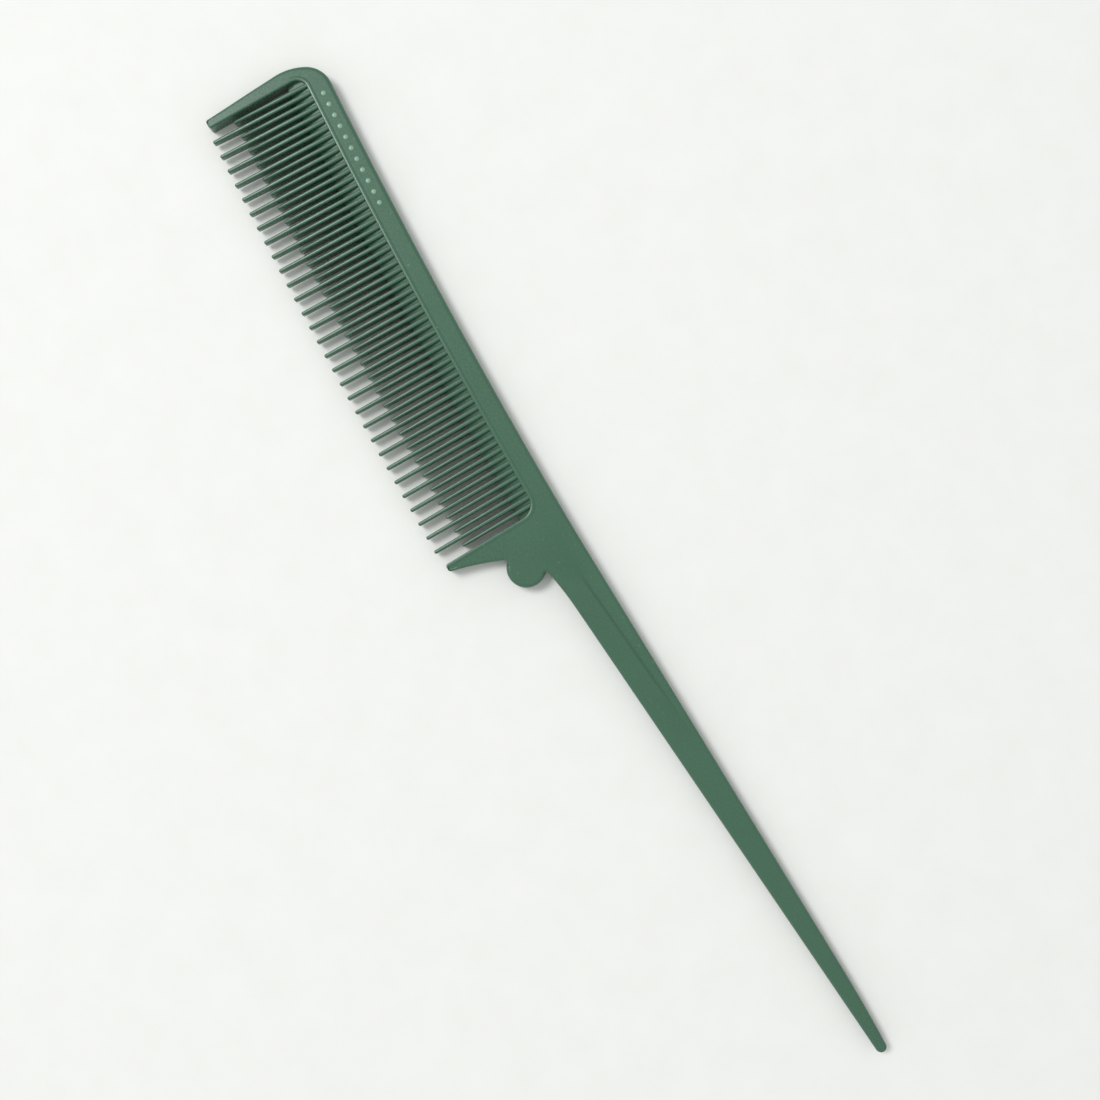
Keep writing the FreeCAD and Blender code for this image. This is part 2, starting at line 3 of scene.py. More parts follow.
import bmesh
import bpy
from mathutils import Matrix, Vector


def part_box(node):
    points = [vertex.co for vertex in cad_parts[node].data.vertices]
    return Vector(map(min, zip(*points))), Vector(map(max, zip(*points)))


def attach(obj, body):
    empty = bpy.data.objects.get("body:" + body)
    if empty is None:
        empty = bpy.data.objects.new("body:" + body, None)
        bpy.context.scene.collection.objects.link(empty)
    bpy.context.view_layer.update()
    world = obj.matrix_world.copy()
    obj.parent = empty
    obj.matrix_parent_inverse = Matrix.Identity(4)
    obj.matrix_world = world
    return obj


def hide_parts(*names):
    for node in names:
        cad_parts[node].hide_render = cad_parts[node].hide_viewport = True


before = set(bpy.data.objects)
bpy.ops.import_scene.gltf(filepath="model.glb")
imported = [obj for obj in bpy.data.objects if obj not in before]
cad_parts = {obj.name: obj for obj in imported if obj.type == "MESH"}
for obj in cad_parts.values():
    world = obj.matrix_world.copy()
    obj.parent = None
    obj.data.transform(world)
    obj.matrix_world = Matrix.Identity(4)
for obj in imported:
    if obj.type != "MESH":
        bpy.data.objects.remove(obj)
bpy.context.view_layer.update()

# A rat-tail teasing comb, injection moulded in one piece of satin green plastic, lying on a pale surface.
# Lengths are in millimetres in the comb's own plan frame, whose origin is the middle of the back edge of
# the tooth row, and row() turns a place in that frame into metres in the shared frame.

MM = 0.001

# ---------------------------------------------------------------- sizes of the comb

OVERALL_LENGTH = 225.5
THICKNESS = 4.0
BACK_RADIUS = 1437.0
BOW_TILT = 1.25                 # degrees
TOOTH_LEAN = 0.4                # degrees from square to the bow
LONG_TEETH = 30
TOOTH_PITCH = 1.548
SPINE_WIDTH = 4.55
WEB_WIDTH = 3.65
SHORT_TIP_DEPTH = 20.6
LONG_TIP_DEPTH = 26.0
TOOTH_ROOT_WIDTH = 0.88
TOOTH_ROOT_HEIGHT = 3.7
LONG_TIP_WIDTH = 0.72
LONG_TIP_HEIGHT = 2.0
SHORT_TIP_WIDTH = 0.60
SHORT_TIP_HEIGHT = 2.8
WEB_ROOT_HEIGHT = 2.9
WEB_EDGE_HEIGHT = 0.5
FRONT_GAP = 1.28
FRONT_GUARD_WIDTH = 2.86
FRONT_GUARD_LENGTH = 23.5
FRONT_GUARD_TAPER = 3.74
CORNER_RADIUS = 5.3
SHOULDER_RADIUS = 11.5
SHOULDER_TURN = 33.0
FRONT_INNER_RADIUS = 2.2
REAR_GAP = 1.05
REAR_GUARD_LENGTH = 25.6
REAR_GUARD_LEAN = 1.48
REAR_GUARD_TIP_WIDTH = 1.5
REAR_INNER_RADIUS = 3.1
REAR_OUTER_RADIUS = 62.0
GUARD_TIP_RADIUS = 0.55
LOBE_RADIUS = 3.91
LOBE_REACH = 10.28
LOBE_DEPTH = 12.05
LOBE_GUARD_ANGLE = 217.6
LOBE_NOTCH_ANGLE = 52.6
LOBE_ROOT_ROUND = 0.5
NOTCH_ROUND = 0.3
NECK_REACH = 5.16
NECK_RADIUS = 409.0
TAIL_BACK_ANGLE = 1.825
TAIL_ROOT_REACH = 22.84
TAIL_ROOT_WIDTH = 7.75
TAIL_FLANK_RADIUS = 68.0
TAIL_TIP_RADIUS = 1.12
TAIL_TIP_THICKNESS = 2.2
TIP_BOW_RADIUS = 322.0
TIP_BOW_LENGTH = 18.9


# ---------------------------------------------------------------- plane geometry

def unit(angle):
    """Unit vector at an angle in degrees from +X."""
    return Vector((cos(radians(angle)), sin(radians(angle)), 0.0))


def slide_to_circle(start, direction, centre, radius, nearest):
    """How far a point slides along a direction to lie on a circle: the near or the far crossing."""
    offset = start - centre
    half = offset.dot(direction)
    reach = sqrt(half * half - offset.dot(offset) + radius * radius)
    return -half - reach if nearest else -half + reach


def circles_meet(centre_a, radius_a, centre_b, radius_b, side):
    """Crossing of two circles, to the left (1) or right (-1) of the line from the first to the second."""
    line = centre_b - centre_a
    gap = line.length
    along = (gap * gap + radius_a ** 2 - radius_b ** 2) / (2 * gap)
    across = sqrt(radius_a ** 2 - along ** 2)
    return centre_a + line * (along / gap) + Vector((-line.y, line.x, 0.0)) * (side * across / gap)


def project(point, foot, direction):
    return foot + direction * (point - foot).dot(direction)


def rim(centre, towards, radius):
    """Point of a circle on the side of another point."""
    return centre + (towards - centre).normalized() * radius


BOW_CENTRE = unit(90 - BOW_TILT) * BACK_RADIUS
BEAD_RADIUS = BACK_RADIUS + SPINE_WIDTH
SLOT_DEPTH = SPINE_WIDTH + WEB_WIDTH
ROW_HALF = TOOTH_PITCH * LONG_TEETH
TOOTH_HALF = TOOTH_ROOT_WIDTH / 2


def bow_angle(along):
    """Degrees from straight down to the point that lies along the back edge from the row's middle."""
    return degrees(along / BACK_RADIUS) - BOW_TILT


def bow_point(along, depth):
    return BOW_CENTRE + unit(bow_angle(along) - 90) * (BACK_RADIUS + depth)


def rounded_corner(point, towards_a, towards_b, radius):
    """Tangent points and centre of an arc between two edges that leave a corner."""
    a = (towards_a - point).normalized()
    b = (towards_b - point).normalized()
    half = acos(a.dot(b)) / 2
    reach = radius / tan(half)
    return point + a * reach, point + (a + b).normalized() * (radius / sin(half)), point + b * reach


def comb_outline():
    """Plan outline of the moulding without its teeth: where it starts, its runs as (name, end, centre of the
    arc or None), and how far along the comb the head, the tail's tip and the start of its thinning lie."""
    # front guard and inner corner
    foot = bow_point(-ROW_HALF, SLOT_DEPTH) - Vector((TOOTH_HALF + FRONT_GAP, 0, 0))
    outer_foot = foot - Vector((FRONT_GUARD_WIDTH, 0, 0))
    outer_up = unit(90 + FRONT_GUARD_TAPER)
    front_inner = foot + Vector((FRONT_INNER_RADIUS, 0, 0))
    front_inner += unit(90) * slide_to_circle(front_inner, unit(90), BOW_CENTRE,
                                              BEAD_RADIUS + FRONT_INNER_RADIUS, True)
    inner_on_guard = front_inner - Vector((FRONT_INNER_RADIUS, 0, 0))
    inner_on_spine = rim(front_inner, BOW_CENTRE, FRONT_INNER_RADIUS)
    # head corner: shoulder arc, then a tighter arc into the back edge
    inward = unit(FRONT_GUARD_TAPER)
    turned = unit(FRONT_GUARD_TAPER - SHOULDER_TURN)
    shoulder = outer_foot + inward * SHOULDER_RADIUS
    corner = shoulder - turned * (SHOULDER_RADIUS - CORNER_RADIUS)
    lift = slide_to_circle(corner, outer_up, BOW_CENTRE, BACK_RADIUS + CORNER_RADIUS, True)
    shoulder += outer_up * lift
    corner += outer_up * lift
    shoulder_start = shoulder - inward * SHOULDER_RADIUS
    head_end_x = shoulder.x - SHOULDER_RADIUS
    # blunt tip of the front guard
    tip_y = -FRONT_GUARD_LENGTH
    inner_tip = Vector((foot.x, tip_y, 0))
    outer_tip = outer_foot + outer_up * ((tip_y - outer_foot.y) / outer_up.y)
    tip_outer = rounded_corner(outer_tip, shoulder_start, inner_tip, GUARD_TIP_RADIUS)
    tip_inner = rounded_corner(inner_tip, outer_tip, inner_on_guard, GUARD_TIP_RADIUS)
    # rear guard
    rear_foot = bow_point(ROW_HALF, SLOT_DEPTH) + Vector((TOOTH_HALF + REAR_GAP, 0, 0))
    down = unit(REAR_GUARD_LEAN - 90)
    side = unit(180 + REAR_GUARD_LEAN)
    rear_inner = rear_foot + side * REAR_INNER_RADIUS
    rear_inner -= down * slide_to_circle(rear_inner, -down, BOW_CENTRE,
                                         BEAD_RADIUS + REAR_INNER_RADIUS, True)
    rear_on_guard = rear_inner - side * REAR_INNER_RADIUS
    rear_on_spine = rim(rear_inner, BOW_CENTRE, REAR_INNER_RADIUS)
    # finger stop, and the hollow outer edge of the rear guard that ends on it
    lobe = Vector((ROW_HALF + LOBE_REACH, -LOBE_DEPTH, 0))
    lobe_on_guard = lobe + unit(LOBE_GUARD_ANGLE) * LOBE_RADIUS
    notch = lobe + unit(LOBE_NOTCH_ANGLE) * LOBE_RADIUS
    rear_inner_tip = rear_foot + down * ((-REAR_GUARD_LENGTH - rear_foot.y) / down.y)
    rear_outer_tip = rear_inner_tip + Vector((REAR_GUARD_TIP_WIDTH, 0, 0))
    chord = lobe_on_guard - rear_outer_tip
    square = Vector((-chord.y, chord.x, 0)).normalized()
    rise = sqrt(REAR_OUTER_RADIUS ** 2 - chord.length_squared / 4)
    rear_outer = rear_outer_tip + chord * 0.5 - square * rise
    outward = (rear_outer_tip - rear_outer).normalized()
    rear_tip_inner = rounded_corner(rear_inner_tip, rear_on_guard, rear_outer_tip, GUARD_TIP_RADIUS)
    rear_tip_outer = rounded_corner(rear_outer_tip, rear_inner_tip,
                                    rear_outer_tip + Vector((outward.y, -outward.x, 0)), GUARD_TIP_RADIUS)
    root_round = circles_meet(rear_outer, REAR_OUTER_RADIUS - LOBE_ROOT_ROUND,
                              lobe, LOBE_RADIUS + LOBE_ROOT_ROUND, 1)
    # back edge beyond the head, and the rounded tip of the tail
    neck_along = ROW_HALF + NECK_REACH
    neck_start = bow_point(neck_along, 0)
    neck = neck_start + unit(bow_angle(neck_along) + 90) * NECK_RADIUS
    neck_end = neck - unit(TAIL_BACK_ANGLE + 90) * NECK_RADIUS
    back_along = unit(TAIL_BACK_ANGLE)
    tail_end_x = head_end_x + OVERALL_LENGTH
    bow_start = neck_end + back_along * ((tail_end_x - TIP_BOW_LENGTH - neck_end.x) / back_along.x)
    tip_bow = bow_start - unit(TAIL_BACK_ANGLE + 90) * TIP_BOW_RADIUS
    tip = Vector((tail_end_x - TAIL_TIP_RADIUS, tip_bow.y, 0))
    tip += unit(90) * slide_to_circle(tip, unit(90), tip_bow, TIP_BOW_RADIUS - TAIL_TIP_RADIUS, False)
    # front edge of the tail, tangent to the tip, and the flank that runs up into the notch
    root_back = neck_end + back_along * ((ROW_HALF + TAIL_ROOT_REACH - neck_end.x) / back_along.x)
    root_front = root_back - Vector((0, TAIL_ROOT_WIDTH, 0))
    to_tip = tip - root_front
    front_angle = degrees(atan2(to_tip.y, to_tip.x) - TAIL_TIP_RADIUS / hypot(to_tip.x, to_tip.y))
    front_along = unit(front_angle)
    flank = project(notch, root_front, front_along) + unit(front_angle - 90) * TAIL_FLANK_RADIUS
    flank += front_along * slide_to_circle(flank, front_along, notch, TAIL_FLANK_RADIUS, False)
    flank_end = project(flank, root_front, front_along)
    notch_round = circles_meet(flank, TAIL_FLANK_RADIUS - NOTCH_ROUND, lobe, LOBE_RADIUS + NOTCH_ROUND, -1)
    corner_end = rim(corner, BOW_CENTRE, CORNER_RADIUS)
    runs = [
        ("front_guard_outer", tip_outer[0], None),
        ("front_guard_tip", tip_outer[2], tip_outer[1]),
        ("front_guard_tip", tip_inner[0], None),
        ("front_guard_tip", tip_inner[2], tip_inner[1]),
        ("front_guard_inner", inner_on_guard, None),
        ("bead", inner_on_spine, front_inner),
        ("bead", rear_on_spine, BOW_CENTRE),
        ("bead", rear_on_guard, rear_inner),
        ("rear_guard_inner", rear_tip_inner[0], None),
        ("rear_guard_tip", rear_tip_inner[2], rear_tip_inner[1]),
        ("rear_guard_tip", rear_tip_outer[0], None),
        ("rear_guard_tip", rear_tip_outer[2], rear_tip_outer[1]),
        ("rear_guard_outer", rim(rear_outer, root_round, REAR_OUTER_RADIUS), rear_outer),
        ("lobe_root", rim(lobe, root_round, LOBE_RADIUS), root_round),
        ("lobe", rim(lobe, notch_round, LOBE_RADIUS), lobe),
        ("notch", rim(flank, notch_round, TAIL_FLANK_RADIUS), notch_round),
        ("flank", flank_end, flank),
        ("tail_front", project(tip, root_front, front_along), None),
        ("tail_tip", rim(tip_bow, tip, TIP_BOW_RADIUS), tip),
        ("tail_back", bow_start, tip_bow),
        ("tail_back", neck_end, None),
        ("tail_back", neck_start, neck),
        ("back", corner_end, BOW_CENTRE),
        ("head_corner", shoulder - turned * SHOULDER_RADIUS, corner),
        ("head_corner", shoulder_start, shoulder),
    ]
    return shoulder_start, runs, head_end_x, tail_end_x, flank_end.x


OUTLINE_START, OUTLINE, HEAD_END_X, TAIL_END_X, FOLD_X = comb_outline()

# The shared frame's place for the plan frame's origin, from the boxes of two regions of the comb.
SHIFT_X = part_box("head_corner")[0][0] - HEAD_END_X * MM
SHIFT_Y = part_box("front_guard_tooth")[0][1] + FRONT_GUARD_LENGTH * MM
MID_Z = THICKNESS / 2


def row(point, height=0.0):
    """A place in the plan frame, and its height in millimetres, as metres in the shared frame."""
    return Vector((SHIFT_X + point.x * MM, SHIFT_Y + point.y * MM, height * MM))


# ---------------------------------------------------------------- modelling helpers

PLAN_TOLERANCE = 0.02           # a place within this of a run of the outline lies on it
DOUBLE_GAP = 0.001              # vertices closer than this are one
OUTLINE_GAP = 0.02              # the same, along the drawn outline
CUT_GAP = 0.05                  # a cut this close to a vertex passes through it
FINE_CUT_GAP = 0.0001           # the same, for a cut that shapes the piece
FLAT = 0.9                      # least upward or downward share of a flat face's normal
BODY_CORNER = 30                # degrees; a sharper bend than this stays crisp on the body and slot floor
SMALL_CORNER = 40               # the same, on the small pieces


def select_only(piece):
    bpy.ops.object.select_all(action="DESELECT")
    piece.select_set(True)
    bpy.context.view_layer.objects.active = piece


def settle(piece):
    """Put a piece's place, turn and scale into its mesh."""
    select_only(piece)
    bpy.ops.object.transform_apply(location=True, rotation=True, scale=True)


def pick(piece, kind, chosen):
    """In edit mode, select just the vertices, edges or faces for which chosen(element) is true."""
    bpy.ops.mesh.select_mode(type={"verts": "VERT", "edges": "EDGE", "faces": "FACE"}[kind])
    bpy.ops.mesh.select_all(action="DESELECT")
    drawn = bmesh.from_edit_mesh(piece.data)
    for element in getattr(drawn, kind):
        if chosen(element):
            element.select_set(True)
    drawn.select_flush_mode()
    bmesh.update_edit_mesh(piece.data)


def add_modifier(piece, kind, **settings):
    modifier = piece.modifiers.new(kind.lower(), kind)
    for name, value in settings.items():
        setattr(modifier, name, value)
    select_only(piece)
    bpy.ops.object.modifier_apply(modifier=modifier.name)


def clean(piece):
    """Merge doubles and point every face outwards."""
    select_only(piece)
    bpy.ops.object.mode_set(mode="EDIT")
    bpy.ops.mesh.select_all(action="SELECT")
    bpy.ops.mesh.remove_doubles(threshold=DOUBLE_GAP * MM)
    bpy.ops.mesh.normals_make_consistent(inside=False)
    bpy.ops.object.mode_set(mode="OBJECT")


def smooth(piece, angle):
    select_only(piece)
    bpy.ops.object.shade_smooth_by_angle(angle=radians(angle))


def finish_piece(piece, material, *nodes):
    """Give a piece its finish, let it ride on the comb and stand for its solids."""
    piece.data.materials.clear()
    piece.data.materials.append(material)
    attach(piece, "root")
    if nodes:
        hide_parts(*nodes)


# ---------------------------------------------------------------- finish

GREEN_DEEP = "#385d48"
GREEN_PALE = "#3d634e"
DOT_PAINTED_HIGHLIGHT_DEEP = "#6f9480"         # raised dots, painted paler than the body: a painted highlight like the one raised marks catch
DOT_PAINTED_HIGHLIGHT_PALE = "#86a894"
SCUFF = "#7f9c88"
CARD_DEEP = "#e4e4e1"
CARD_PALE = "#ebebe9"


def linear(code):
    """Linear colour, with alpha, of an sRGB hex code such as #527a5c."""
    parts = [int(code[i:i + 2], 16) / 255 for i in (1, 3, 5)]
    return [part / 12.92 if part <= 0.04045 else ((part + 0.055) / 1.055) ** 2.4 for part in parts] + [1.0]


def add_node(tree, kind, links=None, **settings):
    """A shader node with its settings. Links give a socket a value, or the output of another node."""
    node = tree.nodes.new(kind)
    for name, value in settings.items():
        setattr(node, name, value)
    for name, value in (links or {}).items():
        socket = node.inputs[name]
        if isinstance(value, bpy.types.NodeSocket):
            tree.links.new(value, socket)
        else:
            socket.default_value = value
    return node


def new_material(name):
    material = bpy.data.materials.new(name)
    material.use_nodes = True
    material.node_tree.nodes.clear()
    return material, material.node_tree


def satin_moulded_polypropylene(name, deep, pale):
    """Grey-green polypropylene, injection moulded against a fine satin tool: a soft, broad highlight, a
    faint cloudiness where the melt flowed, and small pale scuffs from handling."""
    material, tree = new_material(name)
    place = add_node(tree, "ShaderNodeTexCoord").outputs["Object"]
    cloud = add_node(tree, "ShaderNodeTexNoise", {"Vector": place, "Scale": 1 / (14 * MM), "Detail": 3.0,
                                                 "Roughness": 0.55, "Distortion": 0.6})
    base = add_node(tree, "ShaderNodeMix", {"Factor": cloud.outputs["Fac"], "A": linear(deep),
                                            "B": linear(pale)}, data_type="RGBA")
    # scuffs: sparse pale nicks under a millimetre long
    nick = add_node(tree, "ShaderNodeTexNoise", {"Vector": place, "Scale": 1 / (0.9 * MM), "Detail": 4.0,
                                                "Roughness": 0.7})
    nicked = add_node(tree, "ShaderNodeMapRange", {"Value": nick.outputs["Fac"], "From Min": 0.66,
                                                  "From Max": 0.74, "To Min": 0.0, "To Max": 0.60})
    scuffed = add_node(tree, "ShaderNodeMix", {"Factor": nicked.outputs["Result"],
                                               "A": base.outputs["Result"], "B": linear(SCUFF)},
                       data_type="RGBA")
    # the tool's satin grain, drawn at 0.35 mm where the real one is finer, so that it shows
    grain = add_node(tree, "ShaderNodeTexNoise", {"Vector": place, "Scale": 1 / (0.35 * MM), "Detail": 2.0,
                                                 "Roughness": 0.6})
    gloss = add_node(tree, "ShaderNodeMapRange", {"Value": grain.outputs["Fac"], "From Min": 0.3,
                                                 "From Max": 0.7, "To Min": 0.22, "To Max": 0.33})
    bump = add_node(tree, "ShaderNodeBump", {"Height": grain.outputs["Fac"], "Strength": 0.25,
                                            "Distance": 0.02 * MM})
    shader = add_node(tree, "ShaderNodeBsdfPrincipled", {
        "Base Color": scuffed.outputs["Result"], "Roughness": gloss.outputs["Result"], "IOR": 1.49,
        "Normal": bump.outputs["Normal"]})
    add_node(tree, "ShaderNodeOutputMaterial", {"Surface": shader.outputs["BSDF"]})
    return material


def matt_white_card():
    """Uncoated white card: no highlight, a barely seen tooth and a soft warm cast."""
    material, tree = new_material("matt_white_card")
    place = add_node(tree, "ShaderNodeTexCoord").outputs["Object"]
    cloud = add_node(tree, "ShaderNodeTexNoise", {"Vector": place, "Scale": 1 / (9 * MM), "Detail": 5.0,
                                                 "Roughness": 0.6})
    tone = add_node(tree, "ShaderNodeMix", {"Factor": cloud.outputs["Fac"], "A": linear(CARD_DEEP),
                                            "B": linear(CARD_PALE)}, data_type="RGBA")
    tooth = add_node(tree, "ShaderNodeTexNoise", {"Vector": place, "Scale": 1 / (1.1 * MM), "Detail": 3.0})
    bump = add_node(tree, "ShaderNodeBump", {"Height": tooth.outputs["Fac"], "Strength": 0.3,
                                            "Distance": 0.05 * MM})
    shader = add_node(tree, "ShaderNodeBsdfPrincipled", {
        "Base Color": tone.outputs["Result"], "Roughness": 0.9, "Specular IOR Level": 0.2,
        "Normal": bump.outputs["Normal"]})
    add_node(tree, "ShaderNodeOutputMaterial", {"Surface": shader.outputs["BSDF"]})
    return material


# ---------------------------------------------------------------- the moulding without its teeth

LINE_STEP = 1.5                 # longest edge along a straight run
ARC_SAG = 0.006                 # furthest an arc's edges stray from it
LONGEST_ARC_STEP = 4.0
ROUNDING = {                    # radius of the edge round each face, by run of the outline
    "front_guard_outer": 0.60, "front_guard_tip": 0.30, "front_guard_inner": 0.36, "bead": 0.32,
    "rear_guard_inner": 0.44, "rear_guard_tip": 0.30, "rear_guard_outer": 0.60, "lobe_root": 0.60,
    "lobe": 0.80, "notch": 0.60, "flank": 0.62, "tail_front": 0.74, "tail_tip": 0.70,
    "tail_back": 0.74, "back": 0.80, "head_corner": 0.80}
WIDEST_ROUNDING = max(ROUNDING.values())
ROUNDING_STEPS = 4
EASING_PASSES = 8               # how far a change of rounding spreads along the edge

# The faces are divided by cuts, so that none of their pieces is a long hollow shape.
SLICE_STEP = 4.0
SLICED = [(-44.0, 45.0), (51.0, 56.0), (62.0, TAIL_END_X - 2.0)]   # stretches of spine, neck and tail
GUARD_TOP = -9.6                # nothing is sliced below this and short of LOBE_END
LOBE_END = 61.0
FRONT_GUARD_CUTS = (GUARD_TOP, -13.0, -16.4, -19.8)
REAR_GUARD_CUTS = (-11.0, -17.6, -21.0)

# Crease: a shallow hollow that leaves the neck and closes on the back edge part of the way down the tail.
CREASE_START = Vector((51.0, -4.90, 0))
CREASE_END = Vector((105.0, 0.15, 0))
CREASE_WALL = 0.50              # plan width of its steep side
CREASE_DEPTH = 0.38
CREASE_EASE = 0.25              # share of its length over which it deepens, and over which it fades


def start_outline(name, point):
    """A single vertex to draw an outline from."""
    bpy.ops.object.select_all(action="DESELECT")
    bpy.ops.mesh.primitive_plane_add(size=MM, location=point)
    piece = bpy.context.object
    piece.name = piece.data.name = name
    settle(piece)
    bpy.ops.object.mode_set(mode="EDIT")
    bpy.ops.mesh.select_mode(type="VERT")
    bpy.ops.mesh.select_all(action="SELECT")
    bpy.ops.mesh.merge(type="CENTER")
    return piece


def draw_line(start, end):
    count = ceil((end - start).length / LINE_STEP)
    for _ in range(count):
        bpy.ops.mesh.extrude_vertices_move(TRANSFORM_OT_translate={"value": (end - start) * (MM / count)})


def draw_arc(start, end, centre, height):
    first, last = start - centre, end - centre
    turn = atan2(first.x * last.y - first.y * last.x, first.dot(last))
    radius = first.length
    step = min(2 * acos(1 - ARC_SAG / radius), LONGEST_ARC_STEP / radius)
    bpy.ops.mesh.spin(steps=ceil(abs(turn) / step), angle=-turn, center=row(centre, height), axis=(0, 0, 1))


def run_of(point):
    """Name of the outline run nearest to a plan point."""
    best, best_gap = None, 1e9
    start = OUTLINE_START
    for name, end, centre in OUTLINE:
        if centre is None:
            along = max(0.0, min(1.0, (point - start).dot(end - start) / (end - start).length_squared))
            gap = (point - start.lerp(end, along)).length
        else:
            first, last, here = start - centre, end - centre, point - centre
            between = first.angle(here) + here.angle(last) - first.angle(last) < radians(0.5)
            gap = abs(here.length - first.length) if between else min((point - start).length,
                                                                     (point - end).length)
        if gap < best_gap:
            best, best_gap = name, gap
        start = end
    return best, best_gap


def plan(place):
    """The plan point, in millimetres, under a place in the shared frame."""
    return Vector(((place.x - SHIFT_X) / MM, (place.y - SHIFT_Y) / MM, 0.0))


def thin_tail():
    """Two flat cuts thin the tail from the flank to its tip, one above and one below."""
    run = TAIL_END_X - FOLD_X
    fall = (THICKNESS - TAIL_TIP_THICKNESS) / 2
    for side in (1, -1):
        bpy.ops.mesh.select_all(action="SELECT")
        bpy.ops.mesh.bisect(plane_co=row(Vector((FOLD_X, 0, 0)), MID_Z + side * THICKNESS / 2),
                            plane_no=Vector((fall, 0, side * run)).normalized(), clear_outer=True,
                            use_fill=True, threshold=FINE_CUT_GAP * MM)


def cut(point, normal):
    """Divide what is selected along an upright plane, sparing it slivers."""
    bpy.ops.mesh.bisect(plane_co=row(point), plane_no=normal, threshold=CUT_GAP * MM)


def centre_of(face):
    """The plan point in the middle of a face."""
    return plan(face.calc_center_median())


def is_flat(face):
    """True for a face of the comb's upper or lower side."""
    return abs(face.normal.z) > FLAT


def over_guard(centre):
    """True for a plan point on a guard or on the finger stop."""
    return centre.y < GUARD_TOP and centre.x < LOBE_END


def divide_plan(piece):
    """Cut both faces across: the guards first, then the rest, sparing the guards and the head corner."""
    for depths, left, right in ((FRONT_GUARD_CUTS, HEAD_END_X, 0.0), (REAR_GUARD_CUTS, 0.0, TAIL_END_X)):
        for y in depths:
            pick(piece, "faces", lambda face: is_flat(face) and left < centre_of(face).x < right)
            cut(Vector((0, y, 0)), (0, 1, 0))
    for x, last in SLICED:
        while x < last:
            pick(piece, "faces", lambda face: is_flat(face) and not over_guard(centre_of(face)))
            cut(Vector((x, 0, 0)), (1, 0, 0))
            x += SLICE_STEP


def crease_tail(piece):
    """The hollow beside the back edge, above and below: a steep side, then a gentle rise to the edge."""
    along = (CREASE_END - CREASE_START).normalized()
    across = Vector((-along.y, along.x, 0))
    length = (CREASE_END - CREASE_START).length

    for offset in (0.0, CREASE_WALL):
        pick(piece, "faces", lambda face: is_flat(face) and CREASE_START.x < centre_of(face).x < CREASE_END.x)
        cut(CREASE_START + across * offset, across)
    drawn = bmesh.from_edit_mesh(piece.data)
    for vertex in drawn.verts:
        from_start = plan(vertex.co) - CREASE_START
        share = from_start.dot(along) / length
        if 0 < share < 1 and abs(from_start.dot(across) - CREASE_WALL) < PLAN_TOLERANCE:
            depth = CREASE_DEPTH * min(1.0, share / CREASE_EASE, (1 - share) / CREASE_EASE)
            vertex.co.z += depth * MM * (1 if vertex.co.z < MID_Z * MM else -1)
    bmesh.update_edit_mesh(piece.data)


def round_edges(piece):
    """Round the edges of both faces, each run of the outline by its own radius."""
    mesh = piece.data
    level = {}
    for vertex in mesh.vertices:
        name, gap = run_of(plan(vertex.co))
        if gap < PLAN_TOLERANCE:
            level[vertex.index] = ROUNDING[name]
    rims = [edge for edge in mesh.edges if is_rim(mesh, edge, level)]
    for _ in range(EASING_PASSES):
        near = {index: [value] for index, value in level.items()}
        for edge in rims:
            a, b = edge.vertices
            near[a].append(level[b])
            near[b].append(level[a])
        level = {index: sum(values) / len(values) for index, values in near.items()}
    weights = mesh.attributes.new("bevel_weight_edge", "FLOAT", "EDGE")
    for edge in rims:
        a, b = edge.vertices
        weights.data[edge.index].value = (level[a] + level[b]) / 2 / WIDEST_ROUNDING
    add_modifier(piece, "BEVEL", limit_method="WEIGHT", width=WIDEST_ROUNDING * MM,
                 segments=ROUNDING_STEPS, use_clamp_overlap=False, harden_normals=True)


def is_rim(mesh, edge, level):
    """True for an edge that lies along the outline, on the upper or the lower face."""
    a, b = (mesh.vertices[index].co for index in edge.vertices)
    return (all(index in level for index in edge.vertices) and (a - b).xy.length > 0.01 * MM
            and run_of(plan((a + b) / 2))[1] < PLAN_TOLERANCE)


def add_body(material):
    """The outline, drawn at full height, filled, drawn down, thinned, creased and rounded."""
    body = start_outline("comb_body", row(OUTLINE_START, THICKNESS))
    start = OUTLINE_START
    for _, end, centre in OUTLINE:
        if centre is None:
            draw_line(start, end)
        else:
            draw_arc(start, end, centre, THICKNESS)
        start = end
    bpy.ops.mesh.select_all(action="SELECT")
    bpy.ops.mesh.remove_doubles(threshold=OUTLINE_GAP * MM)
    bpy.ops.mesh.edge_face_add()
    bpy.ops.mesh.extrude_region_move(TRANSFORM_OT_translate={"value": (0, 0, -THICKNESS * MM)})
    bpy.ops.mesh.select_all(action="SELECT")
    bpy.ops.mesh.normals_make_consistent(inside=False)
    thin_tail()
    divide_plan(body)
    crease_tail(body)
    bpy.ops.object.mode_set(mode="OBJECT")
    smooth(body, BODY_CORNER)
    round_edges(body)
    finish_piece(body, material, "spine", "head_corner", "front_guard_tooth", "neck", "rear_guard_tooth",
                 "finger_stop", "tail_shank", "tail_tip")


# ---------------------------------------------------------------- teeth

ROOT_SINK = 0.5                 # how far a tooth and the slot floor run into the spine
TOOTH_ROUNDING = 0.30
TOOTH_ROUNDING_STEPS = 4


